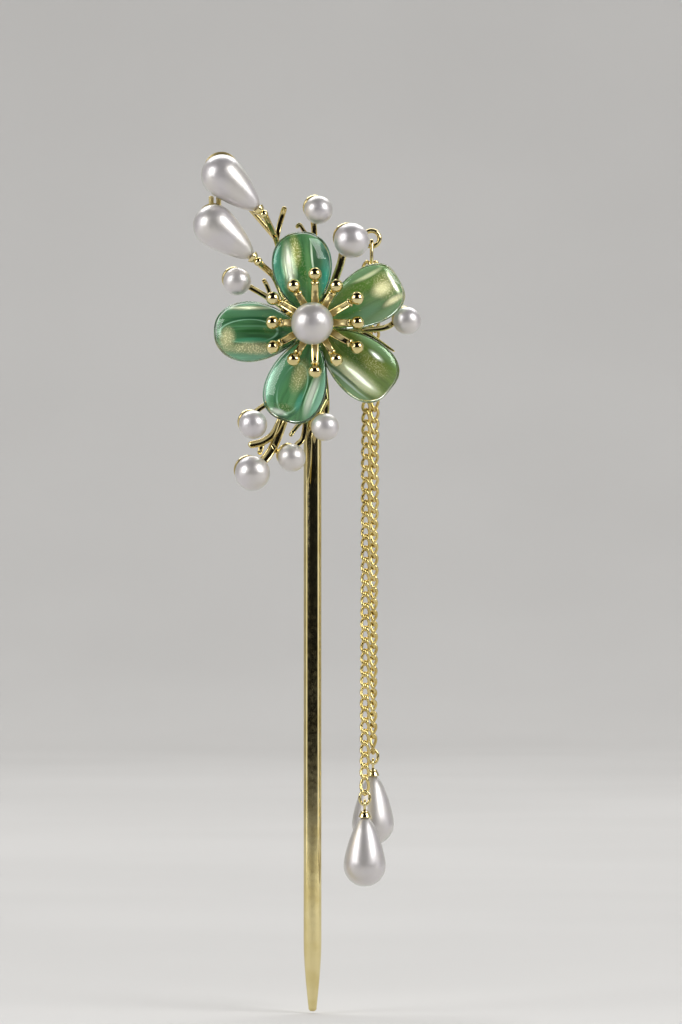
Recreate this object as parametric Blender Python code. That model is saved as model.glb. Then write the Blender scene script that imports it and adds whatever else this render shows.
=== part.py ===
"""A decorative hair pin: a round pin with a glass flower, gold branches with pearls, and two hanging chains.

Every size is in millimetres, and MM turns it into metres when an object is made. +Z runs up the shaft, +X is
the side where the chains hang, and the flower faces -Y. The origin is on the shaft's axis, at the place where
the hair or a holder grips it. Touching pieces keep a gap of 0.3 mm."""

import math

import bmesh
import bpy
from mathutils import Matrix, Vector

MM = 0.001
GAP = 0.3
MERGE = 1e-5

# The pin and the flower on it. FLOWER_Z is the flower's centre above the origin.
FLOWER_Z = 75.0
SHAFT_RADIUS = 1.7
SHAFT_TIP_Z = -55.0
SHAFT_TIP_RADIUS = 0.8
SHAFT_TAPER = 14.0
SHAFT_TOP = 6.0

# Depths in front of the shaft: the castings lie against it, and the glass stands in front of them.
PLATE_RADIUS = 6.8
PLATE_SCALLOP = 0.4
PLATE_THICKNESS = 1.0
PLATE_BACK_Y = -SHAFT_RADIUS - GAP
PLATE_FRONT_Y = PLATE_BACK_Y - PLATE_THICKNESS
STEM_RADIUS = 0.55
STEM_Y = PLATE_BACK_Y - 0.15 - STEM_RADIUS
PETAL_Y = -5.9

# Each glass petal: direction in degrees from +X towards +Z, sideways shift, root and tip radius, half width,
# and the two exponents of its outline.
PETALS = {
    "petal_top": (95.4, 0.9, 2.6, 17.6, 5.75, 1.35, 0.38),
    "petal_upper_right": (30.0, -0.8, 2.7, 18.4, 5.5, 1.6, 0.28),
    "petal_lower_right": (-39.5, -0.2, 2.7, 19.2, 5.8, 1.6, 0.3),
    "petal_bottom": (251.3, 0.8, 2.6, 19.0, 5.9, 1.5, 0.32),
    "petal_left": (180.4, 1.3, 2.4, 18.6, 5.85, 1.35, 0.4),
}
PETAL_HALF_THICKNESS = 1.9
PETAL_TWIST = 9.0
PETAL_PEG_AT = 4.0
PETAL_PEG_RADIUS = 0.4

# The stamens: twelve strips from one hub, short and long by turns, each with a collar and a ball.
STAMENS = 12
STAMEN_SHIFT = (0.5, 0.2)
STAMEN_REACHES = (8.0, 9.15)
STAMEN_ROOT = 2.2
STAMEN_ROOT_Y = -7.6
STAMEN_TIP_Y = -10.4
STAMEN_WIDTH = 1.2
STAMEN_THICKNESS = 0.6
STAMEN_BALL = 1.3
STAMEN_COLLAR = 0.65
HUB_RADIUS = 3.2
HUB_THICKNESS = 0.8
HUB_HOLE = 1.1
POST_RADIUS = 0.7

# Pearls, and the shallow cups with pegs that hold them.
CENTRE_PEARL_RADIUS = 4.0
PEARL_HOLE = 0.8
PEARL_HOLE_DEPTH = 1.6
PEG_RADIUS = 0.5
PEG_DEPTH = 1.3
CUP_WALL = 0.35
CUP_WRAP = 43.0
CUP_FACING = Vector((0.35, -0.9, -0.3)).normalized()
BOSS_RADIUS = 1.0
BOSS_LENGTH = 0.8

# Pear drops: radius, length, how much of the width the taper takes away, and how suddenly the tip rounds off.
# The fixed ones lie in shallow trays, cut at a depth in front of the drop's middle.
DROP_RADIUS = 4.0
DROP_LENGTH = 13.3
DROP_TAPER = 0.72
DROP_BLUNTNESS = 12.0
DROP_Y = -6.9
TRAY_INNER = 0.35
TRAY_OUTER = 0.75
TRAY_FACING = Vector((0.0, -0.92, -0.39)).normalized()
PRONG_RADIUS = 4.75
PRONG_SIDES = (-0.6, 0.8)
PRONG_TURNS = (0.7, 1.1)
PRONG_WIRE = 0.35

# The chains: each strand hangs from the jump ring in three stiff stretches.
EYELET = Vector((11.2, 2.0, 16.5))
EYELET_RADIUS = 1.5
EYELET_WIRE = 0.45
TOP_RING_WIRE = 0.35
TOP_RING_HALF_WIDTH = 1.05
TOP_RING_HALF_LENGTH = 2.5
CHAIN_RADIUS = 1.0
CHAIN_END_RADIUS = 0.45
CHAIN_TAPER = 1.5
CHAIN_POINT_SPACING = 5.0
STRANDS = {
    "left": (Vector((10.3, 1.0, 9.9)), Vector((9.9, 1.2, -87.9))),
    "right": (Vector((11.9, 2.9, 9.9)), Vector((11.5, 7.9, -80.3))),
}
STRETCHES = ("upper", "middle", "lower")
END_RING_WIRE = 0.3
END_RING_HALF_WIDTH = 0.95
END_RING_HALF_LENGTH = 1.3
EYE_RADIUS = 0.9
EYE_WIRE = 0.25
SHANK_RADIUS = 0.3
SHANK_DEPTH = 3.6
DROP_HOLE = 0.6
DROP_HOLE_DEPTH = 4.0
CAP_HEIGHT = 1.0

COLOURS = {
    "champagne_gold": ((0.86, 0.68, 0.33), 0.18, 1.0),
    "chain_gold": ((0.83, 0.64, 0.27), 0.25, 1.0),
    "white_pearl": ((0.88, 0.84, 0.83), 0.22, 0.0),
    "green_glass": ((0.22, 0.62, 0.45), 0.05, 0.0),
}


def clear_scene():
    for old in list(bpy.data.objects):
        bpy.data.objects.remove(old, do_unlink=True)


def material(name):
    """The Principled material of this name, made once."""
    if name in bpy.data.materials:
        return bpy.data.materials[name]
    colour, roughness, metallic = COLOURS[name]
    made = bpy.data.materials.new(name)
    made.use_nodes = True
    shader = made.node_tree.nodes["Principled BSDF"]
    shader.inputs["Base Color"].default_value = (*colour, 1.0)
    shader.inputs["Roughness"].default_value = roughness
    shader.inputs["Metallic"].default_value = metallic
    if name == "green_glass":
        shader.inputs["Transmission Weight"].default_value = 0.8
    return made


def on_flower(x, z, y=STEM_Y):
    """A point given by its place around the flower's centre."""
    return Vector((x, y, FLOWER_Z + z))


def facing_matrix(centre, direction, up=Vector((0.0, 0.0, 1.0))):
    """Places a shape made along +Z so that +Z points in direction and its origin is at centre."""
    return Matrix.Translation(centre) @ up.rotation_difference(direction).to_matrix().to_4x4()


def finished(bm):
    """The bmesh as a mesh with merged points and its faces pointing outwards."""
    bmesh.ops.remove_doubles(bm, verts=bm.verts, dist=MERGE)
    bmesh.ops.recalc_face_normals(bm, faces=bm.faces)
    mesh = bpy.data.meshes.new("shape")
    bm.to_mesh(mesh)
    bm.free()
    return mesh


def turned(profile, sides, place=None, ring=False):
    """A profile of (radius, height) points turned about +Z. It runs from axis to axis, or closes as a ring."""
    bm = bmesh.new()
    points = [bm.verts.new((radius, 0.0, height)) for radius, height in profile]
    edges = [bm.edges.new(pair) for pair in zip(points, points[1:])]
    if ring:
        edges.append(bm.edges.new((points[-1], points[0])))
    bmesh.ops.spin(
        bm,
        geom=points + edges,
        cent=(0.0, 0.0, 0.0),
        axis=(0.0, 0.0, 1.0),
        angle=math.tau,
        steps=sides,
        use_merge=True,
    )
    bm.transform(place or Matrix())
    return finished(bm)


def ball(centre, radius, segments=8, rings=5):
    bm = bmesh.new()
    bmesh.ops.create_uvsphere(bm, u_segments=segments, v_segments=rings, radius=radius)
    bm.transform(Matrix.Translation(centre))
    return finished(bm)


def block(low, high, place=None):
    """A box between two corners."""
    low, high = Vector(low), Vector(high)
    bm = bmesh.new()
    bmesh.ops.create_cube(bm, size=1.0)
    size = high - low
    bm.transform(Matrix.Translation((low + high) / 2.0) @ Matrix.Diagonal((*size, 1.0)))
    bm.transform(place or Matrix())
    return finished(bm)


def curve_object(name, points, radii, depth, resolution, cyclic=False):
    """A curve object with a round bevel and filled caps. radii are shares of depth."""
    curve = bpy.data.curves.new(name, "CURVE")
    curve.dimensions = "3D"
    curve.bevel_depth = depth
    curve.bevel_resolution = resolution
    curve.use_fill_caps = not cyclic
    spline = curve.splines.new("POLY")
    spline.points.add(len(points) - 1)
    for spot, place, share in zip(spline.points, points, radii):
        spot.co = (*place, 1.0)
        spot.radius = share
    spline.use_cyclic_u = cyclic
    made = bpy.data.objects.new(name, curve)
    bpy.context.scene.collection.objects.link(made)
    return made


def wire(points, radius=STEM_RADIUS, end_share=1.0, cyclic=False, resolution=1):
    """A round wire along the points, as a mesh. end_share narrows its last point into a tip."""
    shares = [1.0] * (len(points) - 1) + [end_share]
    made = curve_object("wire", points, shares, radius, resolution, cyclic)
    bpy.context.view_layer.update()
    mesh = bpy.data.meshes.new_from_object(made.evaluated_get(bpy.context.evaluated_depsgraph_get()))
    bpy.data.objects.remove(made, do_unlink=True)
    bm = bmesh.new()
    bm.from_mesh(mesh)
    return finished(bm)


def combined(base, others, operation):
    """The base mesh with the others joined to it or cut from it by exact Booleans."""
    helpers = []
    for mesh in (base, *others):
        helper = bpy.data.objects.new("helper", mesh)
        bpy.context.scene.collection.objects.link(helper)
        helpers.append(helper)
    for helper in helpers[1:]:
        step = helpers[0].modifiers.new("Step", "BOOLEAN")
        step.operation = operation
        step.object = helper
    bpy.context.view_layer.update()
    graph = bpy.context.evaluated_depsgraph_get()
    mesh = bpy.data.meshes.new_from_object(helpers[0].evaluated_get(graph))
    for helper in helpers:
        bpy.data.objects.remove(helper, do_unlink=True)
    return mesh


def joined(*meshes):
    return combined(meshes[0], meshes[1:], "UNION")


def cut(mesh, *cutters):
    return combined(mesh, cutters, "DIFFERENCE")


def add_part(name, mesh, colour, pivot=Vector((0.0, 0.0, 0.0))):
    """An object of this mesh, in metres, with its origin at the pivot."""
    mesh.name = name
    mesh.transform(Matrix.Diagonal((MM, MM, MM, 1.0)) @ Matrix.Translation(-pivot))
    mesh.materials.clear()
    mesh.materials.append(material(colour))
    mesh.shade_smooth()
    mesh.set_sharp_from_angle(angle=math.radians(40.0))
    made = bpy.data.objects.new(name, mesh)
    made.location = pivot * MM
    bpy.context.scene.collection.objects.link(made)
    return made


def spindle(share, power, fullness):
    """The half width, as a share of the widest, of an egg outline at this share of its length."""
    inside = min(max(share, 0.0), 1.0)
    return math.sin(math.pi * inside**power) ** fullness


def make_shaft():
    """A round rod that tapers to a small flat tip and ends behind the flower in a dome."""
    top = FLOWER_Z + SHAFT_TOP
    profile = [
        (0.0, SHAFT_TIP_Z),
        (SHAFT_TIP_RADIUS, SHAFT_TIP_Z),
        (SHAFT_TIP_RADIUS + 0.3, SHAFT_TIP_Z + 0.8),
        (SHAFT_RADIUS, SHAFT_TIP_Z + SHAFT_TAPER),
        (SHAFT_RADIUS, top - SHAFT_RADIUS),
        (SHAFT_RADIUS * 0.7, top - SHAFT_RADIUS * 0.3),
        (0.0, top),
    ]
    add_part("pin_shaft", turned(profile, 24), "champagne_gold")


def petal_frame(direction, shift):
    """The flower's centre with a petal's own turn and shift: +X runs along it, and -Y is its front."""
    turn = Matrix.Rotation(-math.radians(direction), 4, "Y")
    return Matrix.Translation((0.0, PETAL_Y, FLOWER_Z)) @ turn @ Matrix.Translation((0.0, 0.0, shift))


def make_plate():
    """The scalloped plate behind the glass, with the middle post and a peg for each petal."""
    bm = bmesh.new()
    outline = []
    for step in range(40):
        angle = math.tau * step / 40
        radius = PLATE_RADIUS + PLATE_SCALLOP * math.cos(5.0 * (angle - math.radians(27.0)))
        outline.append(bm.verts.new((radius * math.cos(angle), PLATE_BACK_Y, radius * math.sin(angle))))
    bottom = bm.faces.new(outline)
    sides = bmesh.ops.extrude_face_region(bm, geom=[bottom])
    raised = [item for item in sides["geom"] if isinstance(item, bmesh.types.BMVert)]
    bmesh.ops.translate(bm, verts=raised, vec=(0.0, -PLATE_THICKNESS, 0.0))
    bm.transform(Matrix.Translation((0.0, 0.0, FLOWER_Z)))
    plate = finished(bm)
    root_y = PLATE_FRONT_Y + 0.5
    post_end = hub_front() - GAP - PEARL_HOLE_DEPTH + 0.3
    post = [on_flower(*STAMEN_SHIFT, root_y), on_flower(*STAMEN_SHIFT, post_end)]
    pegs = [wire(post, POST_RADIUS, resolution=2)]
    for direction, shift, *_ in PETALS.values():
        foot = petal_frame(direction, shift) @ Vector((PETAL_PEG_AT, 0.0, 0.0))
        pegs.append(wire([(foot.x, root_y, foot.z), (foot.x, PETAL_Y, foot.z)], PETAL_PEG_RADIUS))
    add_part("flower_backplate", joined(plate, *pegs), "champagne_gold")


def petal_mesh(root, tip, half_width, power, fullness, sides=14, rings=12):
    """An egg outline with a lens section along +X, with its hole for the peg."""
    bm = bmesh.new()
    loops = []
    for step in range(1, rings):
        share = 0.5 - 0.5 * math.cos(math.pi * step / rings)
        swell = spindle(share, power, fullness)
        along = root + (tip - root) * share
        loop = []
        for side in range(sides):
            angle = math.tau * side / sides
            width = half_width * swell * math.cos(angle)
            depth = PETAL_HALF_THICKNESS * swell * math.sin(angle)
            loop.append(bm.verts.new((along, depth, width)))
        loops.append(loop)
    for low, high in zip(loops, loops[1:]):
        for side in range(sides):
            follow = (side + 1) % sides
            bm.faces.new((low[side], low[follow], high[follow], high[side]))
    for loop, end in ((loops[0], root), (loops[-1], tip)):
        pole = bm.verts.new((end, 0.0, 0.0))
        for side in range(sides):
            bm.faces.new((loop[side], loop[(side + 1) % sides], pole))
    bm.transform(Matrix.Rotation(math.radians(PETAL_TWIST), 4, "X"))
    glass = finished(bm)
    drill_end = Vector((PETAL_PEG_AT, 4.0, 0.0))
    drill = wire([drill_end, drill_end - Vector((0.0, 8.0, 0.0))], PETAL_PEG_RADIUS + GAP)
    return cut(glass, drill)


def make_petals():
    for name, (direction, shift, *shape) in PETALS.items():
        glass = petal_mesh(*shape)
        glass.transform(petal_frame(direction, shift))
        add_part(name, glass, "green_glass")


def hub_front():
    return STAMEN_ROOT_Y - HUB_THICKNESS / 2.0


def make_stamens():
    """The hub with its hole, and around it the strips with their collars and balls."""
    half = HUB_THICKNESS / 2.0
    hub_place = facing_matrix(on_flower(*STAMEN_SHIFT, STAMEN_ROOT_Y), Vector((0.0, -1.0, 0.0)))
    hub_profile = [(HUB_HOLE, -half), (HUB_RADIUS, -half), (HUB_RADIUS, half), (HUB_HOLE, half)]
    shapes = [turned(hub_profile, 24, hub_place, ring=True)]
    rise = STAMEN_TIP_Y - STAMEN_ROOT_Y
    for step in range(STAMENS):
        run = STAMEN_REACHES[step % 2] - STAMEN_ROOT
        length = math.hypot(rise, run)
        turn = Matrix.Rotation(-math.tau * step / STAMENS, 4, "Y")
        lean = Matrix.Rotation(math.atan2(rise, run), 4, "Z")
        place = Matrix.Translation(on_flower(*STAMEN_SHIFT, STAMEN_ROOT_Y)) @ turn
        place = place @ Matrix.Translation((STAMEN_ROOT, 0.0, 0.0)) @ lean
        half_width = STAMEN_WIDTH / 2.0
        thick = STAMEN_THICKNESS / 2.0
        strip_end = length - STAMEN_BALL
        shapes.append(block((0.0, -thick, -half_width), (strip_end, thick, half_width), place))
        shapes.append(ball(place @ Vector((strip_end, 0.0, 0.0)), STAMEN_COLLAR, 6, 4))
        shapes.append(ball(place @ Vector((length, 0.0, 0.0)), STAMEN_BALL))
    add_part("stamen_star", joined(*shapes), "champagne_gold")


def pearl_mesh(radius, centre, facing, sides=14, arc_steps=8, hole=PEARL_HOLE):
    """A ball with a blind hole that opens away from the way it faces."""
    start = math.asin(hole / radius)
    profile = [(0.0, PEARL_HOLE_DEPTH - radius), (hole, PEARL_HOLE_DEPTH - radius)]
    for step in range(arc_steps):
        angle = start + (math.pi - start) * step / arc_steps
        profile.append((radius * math.sin(angle), -radius * math.cos(angle)))
    profile.append((0.0, radius))
    return turned(profile, sides, facing_matrix(centre, facing))


def cup_mesh(radius, centre):
    """A shallow cup around the back of a pearl, with a peg inside and a boss behind."""
    inner = radius + GAP
    outer = inner + CUP_WALL
    wrap = math.radians(CUP_WRAP)
    base = -outer - BOSS_LENGTH
    profile = [(0.0, base), (BOSS_RADIUS, base)]
    first = math.asin(BOSS_RADIUS / outer)
    for step in range(4):
        angle = first + (wrap - first) * step / 3
        profile.append((outer * math.sin(angle), -outer * math.cos(angle)))
    first = math.asin(PEG_RADIUS / inner)
    for step in range(4):
        angle = wrap + (first - wrap) * step / 3
        profile.append((inner * math.sin(angle), -inner * math.cos(angle)))
    profile += [(PEG_RADIUS, PEG_DEPTH - radius), (0.0, PEG_DEPTH - radius)]
    return turned(profile, 12, facing_matrix(centre, CUP_FACING))


def boss_of(radius, centre):
    """Where a stem meets the boss behind a cup."""
    return centre - CUP_FACING * (radius + GAP + CUP_WALL + BOSS_LENGTH * 0.4)


def pearl_centre(x, z, radius, back_y=STEM_Y):
    """The centre of a pearl whose boss lies at the depth of the stems."""
    reach = radius + GAP + CUP_WALL + BOSS_LENGTH * 0.4
    return on_flower(x, z, back_y + CUP_FACING.y * reach)


PEARLS = {
    "pearl_top": pearl_centre(1.15, 21.6, 2.7),
    "pearl_upper_right": pearl_centre(7.4, 15.8, 3.35),
    "pearl_left": pearl_centre(-14.2, 8.1, 2.65),
    "pearl_right": pearl_centre(17.9, 0.7, 2.65, back_y=-1.3),
    "pearl_lower_left_inner": pearl_centre(-11.2, -18.9, 2.7),
    "pearl_bottom_right": pearl_centre(2.4, -19.4, 2.65),
    "pearl_bottom": pearl_centre(-3.9, -25.2, 2.65),
    "pearl_lower_left_outer": pearl_centre(-11.3, -28.1, 3.35),
}
PEARL_RADII = {
    "pearl_top": 2.7,
    "pearl_upper_right": 3.35,
    "pearl_left": 2.65,
    "pearl_right": 2.65,
    "pearl_lower_left_inner": 2.7,
    "pearl_bottom_right": 2.65,
    "pearl_bottom": 2.65,
    "pearl_lower_left_outer": 3.35,
}


def cup_and_boss(name):
    centre, radius = PEARLS[name], PEARL_RADII[name]
    return cup_mesh(radius, centre), boss_of(radius, centre)


def make_pearls():
    toward_viewer = Vector((0.0, -1.0, 0.0))
    middle = on_flower(0.0, 0.0, hub_front() - GAP - CENTRE_PEARL_RADIUS)
    hole = POST_RADIUS + 2.0 * GAP
    big = pearl_mesh(CENTRE_PEARL_RADIUS, middle, toward_viewer, sides=20, arc_steps=10, hole=hole)
    add_part("pearl_centre", big, "white_pearl")
    for name, centre in PEARLS.items():
        add_part(name, pearl_mesh(PEARL_RADII[name], centre, CUP_FACING), "white_pearl")


def make_branches():
    """The cast branches. Each starts at the plate's rim and ends in the cups and twigs that it carries."""
    cup, boss = cup_and_boss("pearl_top")
    stem = wire([on_flower(0.2, 7.6), on_flower(0.4, 16.0), boss])
    loop_path = [on_flower(0.4, 15.0), on_flower(-1.4, 17.4), on_flower(-2.4, 18.9), on_flower(-3.1, 18.3)]
    loop = wire(loop_path, 0.35)
    add_part("branch_top", joined(cup, stem, loop), "champagne_gold")

    cup, boss = cup_and_boss("pearl_upper_right")
    stem = wire([on_flower(3.7, 6.8), on_flower(4.5, 9.2), on_flower(5.6, 12.8), boss], 0.75)
    arm = wire([boss, on_flower(8.2, 15.9, -0.6), on_flower(9.8, 16.0, 2.0)], 0.4)
    around = [on_flower(*circle_point(EYELET, EYELET_RADIUS, step / 16), EYELET.y) for step in range(16)]
    eyelet = wire(around, EYELET_WIRE, cyclic=True)
    add_part("branch_upper_right", joined(cup, stem, arm, eyelet), "champagne_gold")

    cup, boss = cup_and_boss("pearl_left")
    stem = wire([on_flower(-6.7, 4.0), on_flower(-8.2, 5.0), on_flower(-11.6, 7.0), boss])
    twig = wire([on_flower(-7.8, 4.8), on_flower(-8.4, 6.9), on_flower(-9.3, 8.7)], 0.4)
    add_part("branch_left", joined(cup, stem, twig), "champagne_gold")

    cup, boss = cup_and_boss("pearl_right")
    stem = wire([on_flower(7.6, -1.2), on_flower(11.0, -0.9), on_flower(14.4, -0.3), boss])
    spear = wire([on_flower(8.6, -1.2), on_flower(11.0, -2.1), on_flower(15.6, -5.1)], 0.48, 0.3)
    add_part("branch_right", joined(cup, stem, spear), "champagne_gold")

    inner_cup, inner_boss = cup_and_boss("pearl_lower_left_inner")
    outer_cup, outer_boss = cup_and_boss("pearl_lower_left_outer")
    main = wire([on_flower(-2.7, -7.2), on_flower(-5.6, -18.5), on_flower(-9.0, -25.2), outer_boss], 0.7)
    side = wire([on_flower(-4.6, -14.4), on_flower(-8.6, -15.0), inner_boss], 0.5)
    sickle_path = [on_flower(-5.4, -17.6), on_flower(-7.3, -20.4), on_flower(-9.9, -21.9), on_flower(-12.3, -22.8)]
    sickle = wire(sickle_path, 0.5, 0.3)
    fork = wire([on_flower(-9.2, -21.6), on_flower(-10.1, -24.6)], 0.4)
    curl = wire([on_flower(-7.6, -22.6), on_flower(-6.4, -24.4)], 0.4)
    shapes = (main, outer_cup, inner_cup, side, sickle, fork, curl)
    add_part("branch_lower_left", joined(*shapes), "champagne_gold")

    cup, boss = cup_and_boss("pearl_bottom")
    stem = wire([on_flower(-0.7, -7.6), on_flower(-1.4, -19.6), on_flower(-2.8, -22.6), boss])
    twig = wire([on_flower(-1.3, -17.6), on_flower(-2.9, -19.2), on_flower(-4.3, -21.1)], 0.4)
    add_part("branch_bottom", joined(cup, stem, twig), "champagne_gold")

    cup, boss = cup_and_boss("pearl_bottom_right")
    stem = wire([on_flower(2.0, -7.4), on_flower(2.5, -11.5), on_flower(2.6, -16.4), boss])
    leaf_path = [on_flower(2.5, -14.0), on_flower(0.8, -19.8), on_flower(-0.2, -24.0), on_flower(-0.6, -29.6)]
    leaf = wire(leaf_path, 0.6, 0.2)
    add_part("branch_bottom_right", joined(cup, stem, leaf), "champagne_gold")


def circle_point(centre, radius, share):
    """A point's X and Z on a circle that faces the viewer."""
    angle = math.tau * share
    return centre.x + radius * math.cos(angle), centre.z + radius * math.sin(angle)


def drop_swell(along):
    """A pear drop's radius at a distance from its round end: half a ball, then a taper with a blunt tip."""
    if along < DROP_RADIUS:
        return math.sqrt(DROP_RADIUS**2 - (DROP_RADIUS - along) ** 2)
    taper = (along - DROP_RADIUS) / (DROP_LENGTH - DROP_RADIUS)
    return DROP_RADIUS * (1.0 - DROP_TAPER * taper**1.5) * math.sqrt(max(1.0 - taper**DROP_BLUNTNESS, 0.0))


def drop_profile(grow=0.0, hole=0.0, steps=12):
    """A pear drop's outline from its round end up: the tip is at height 0."""
    profile = []
    for step in range(1, steps):
        share = 0.5 - 0.5 * math.cos(math.pi * step / steps)
        radius = drop_swell(DROP_LENGTH * share) + grow
        profile.append((radius, (DROP_LENGTH + 2.0 * grow) * share - DROP_LENGTH - grow))
    if not hole:
        return [(0.0, -DROP_LENGTH - grow), *profile, (0.0, grow)]
    kept = [point for point in profile if point[0] > hole or point[1] < -DROP_HOLE_DEPTH]
    mouth = kept[-1][1]
    return [(0.0, -DROP_LENGTH), *kept, (hole, mouth), (hole, -DROP_HOLE_DEPTH), (0.0, -DROP_HOLE_DEPTH)]


def tip_cap_profile(hole):
    """A flared cap over a drop's tip, as a ring around its hole, or closed by a bead where hole is 0."""
    flare = [(0.95, -0.15), (1.2, -0.15), (1.0, 0.5)]
    if hole:
        return [(hole, CAP_HEIGHT), (hole, GAP), *flare, (0.85, CAP_HEIGHT)]
    bead = [(0.6, 0.75), (0.85, 1.1), (0.85, 1.7), (0.5, 2.1), (0.0, 2.2)]
    return [(0.0, GAP), (0.55, GAP), *flare, *bead]


def make_fixed_drop(label, tip, away, tray_depth, stem_points, extras):
    """A pear drop lying in its tray: tip is its narrow end, and away points from the round end to the tip."""
    place = facing_matrix(tip, away)
    drop = turned(drop_profile(), 16, place)
    add_part(f"drop_{label}", drop, "white_pearl")
    shell = turned(drop_profile(TRAY_OUTER, steps=9), 16, place)
    inside = turned(drop_profile(TRAY_INNER, steps=9), 16, place)
    middle = tip - away * (DROP_LENGTH - DROP_RADIUS)
    front = facing_matrix(middle - TRAY_FACING * tray_depth, TRAY_FACING)
    tray = cut(shell, inside, block((-20.0, -20.0, 0.0), (20.0, 20.0, 12.0), front))
    cap = turned(tip_cap_profile(0.0), 12, place)
    stem = wire([tip + away * 1.8, *stem_points])
    rib = wire([middle + Vector((0.0, DROP_RADIUS + TRAY_OUTER + 0.2, 0.0)), stem_points[0]], 0.5)
    add_part(f"setting_{label}", joined(tray, rib, stem, cap, *extras), "champagne_gold")


def make_fixed_drops():
    stem = [on_flower(-7.0, 16.4, -3.3), on_flower(-6.0, 13.4), on_flower(-3.5, 6.9)]
    twig = wire([on_flower(-6.9, 15.9, -3.1), on_flower(-6.2, 19.0), on_flower(-5.2, 22.4)], 0.5)
    away = Vector((0.73, 0.0, -0.68)).normalized()
    make_fixed_drop("upper", on_flower(-10.2, 21.7, DROP_Y), away, 3.5, stem, [twig])
    stem = [on_flower(-7.4, 9.2, -3.3), on_flower(-5.6, 5.4)]
    away = Vector((0.774, 0.0, -0.633)).normalized()
    middle = on_flower(-18.5, 18.6, DROP_Y)
    prongs = []
    for x in PRONG_SIDES:
        path = []
        for turn in PRONG_TURNS:
            path.append(middle + Vector((x, PRONG_RADIUS * math.cos(turn), PRONG_RADIUS * math.sin(turn))))
        prongs.append(wire([*path, middle + Vector((x, 1.3, 5.4))], PRONG_WIRE))
    make_fixed_drop("lower", on_flower(-11.3, 12.7, DROP_Y), away, 3.8, stem, prongs)


def oval(centre, half_width, half_length, wire_radius, along_y, steps=16):
    """An oval ring standing up: it faces the viewer, or stands edge-on where along_y is set."""
    points = []
    for step in range(steps):
        angle = math.tau * step / steps
        aside = half_width * math.cos(angle)
        across = Vector((0.0, aside, 0.0)) if along_y else Vector((aside, 0.0, 0.0))
        points.append(centre + across + Vector((0.0, 0.0, half_length * math.sin(angle))))
    return wire(points, wire_radius, cyclic=True)


def chain_stretch(name, top, bottom, pivot):
    """One stiff stretch of chain as a plain tube, narrowed at its ends, with its origin on its hinge."""
    length = (bottom - top).length
    inner = math.ceil((length - 2.0 * CHAIN_TAPER) / CHAIN_POINT_SPACING)
    shares = [0.0]
    shares += [(CHAIN_TAPER + (length - 2.0 * CHAIN_TAPER) * step / inner) / length for step in range(inner + 1)]
    shares.append(1.0)
    points = [(top - pivot + (bottom - top) * share) * MM for share in shares]
    radii = [CHAIN_END_RADIUS / CHAIN_RADIUS, *[1.0] * (inner + 1), CHAIN_END_RADIUS / CHAIN_RADIUS]
    made = curve_object(name, points, radii, CHAIN_RADIUS * MM, 2)
    made.data.materials.append(material("chain_gold"))
    made.location = pivot * MM


def make_chains():
    """The jump ring on the eyelet, then each strand: three stretches, an oval ring and a capped drop."""
    eyelet = on_flower(EYELET.x, EYELET.z, EYELET.y)
    ring_top = eyelet.z - EYELET_RADIUS + EYELET_WIRE + GAP + TOP_RING_WIRE
    ring_centre = Vector((eyelet.x, eyelet.y, ring_top - TOP_RING_HALF_LENGTH))
    ring = oval(ring_centre, TOP_RING_HALF_WIDTH, TOP_RING_HALF_LENGTH, TOP_RING_WIRE, along_y=True)
    add_part("top_jump_ring", ring, "champagne_gold", eyelet)
    for side, (top, bottom) in STRANDS.items():
        top = on_flower(top.x, top.z, top.y)
        bottom = on_flower(bottom.x, bottom.z, bottom.y)
        along = (bottom - top).normalized()
        stretch = (bottom - top).length / len(STRETCHES)
        for step, label in enumerate(STRETCHES):
            joint = top + along * (stretch * step)
            start = joint + along * (GAP / 2.0)
            end = joint + along * (stretch - GAP / 2.0)
            pivot = joint if step else Vector((top.x, top.y, ring_centre.z - TOP_RING_HALF_LENGTH))
            chain_stretch(f"{side}_chain_{label}", start, end, pivot)
        make_pendant(side, bottom)


def make_pendant(side, chain_end):
    """The oval ring at a chain's end, and on it the eye pin, its cap and its pear drop."""
    ring_centre = chain_end - Vector((0.0, 0.0, GAP / 2.0 + END_RING_WIRE + END_RING_HALF_LENGTH))
    ring = oval(ring_centre, END_RING_HALF_WIDTH, END_RING_HALF_LENGTH, END_RING_WIRE, along_y=False)
    add_part(f"{side}_end_ring", ring, "champagne_gold", chain_end)
    pivot = ring_centre - Vector((0.0, 0.0, END_RING_HALF_LENGTH))
    eye_centre = pivot - Vector((0.0, 0.0, EYE_RADIUS - END_RING_WIRE - GAP - EYE_WIRE))
    eye = oval(eye_centre, EYE_RADIUS, EYE_RADIUS, EYE_WIRE, along_y=True)
    tip = eye_centre - Vector((0.0, 0.0, EYE_RADIUS + EYE_WIRE + CAP_HEIGHT))
    shank_top = eye_centre - Vector((0.0, 0.0, EYE_RADIUS))
    shank = wire([shank_top, tip - Vector((0.0, 0.0, SHANK_DEPTH))], SHANK_RADIUS)
    add_part(f"{side}_eye_pin", joined(eye, shank), "champagne_gold", pivot)
    place = Matrix.Translation(tip)
    cap = turned(tip_cap_profile(SHANK_RADIUS + GAP), 12, place, ring=True)
    add_part(f"{side}_drop_cap", cap, "champagne_gold", pivot)
    drop = turned(drop_profile(hole=DROP_HOLE), 16, place)
    add_part(f"{side}_hanging_drop", drop, "white_pearl", pivot)


def main():
    clear_scene()
    make_shaft()
    make_plate()
    make_petals()
    make_stamens()
    make_pearls()
    make_branches()
    make_fixed_drops()
    make_chains()


main()
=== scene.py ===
import math

import bmesh
import bpy
from mathutils import Matrix, Vector, noise


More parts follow.
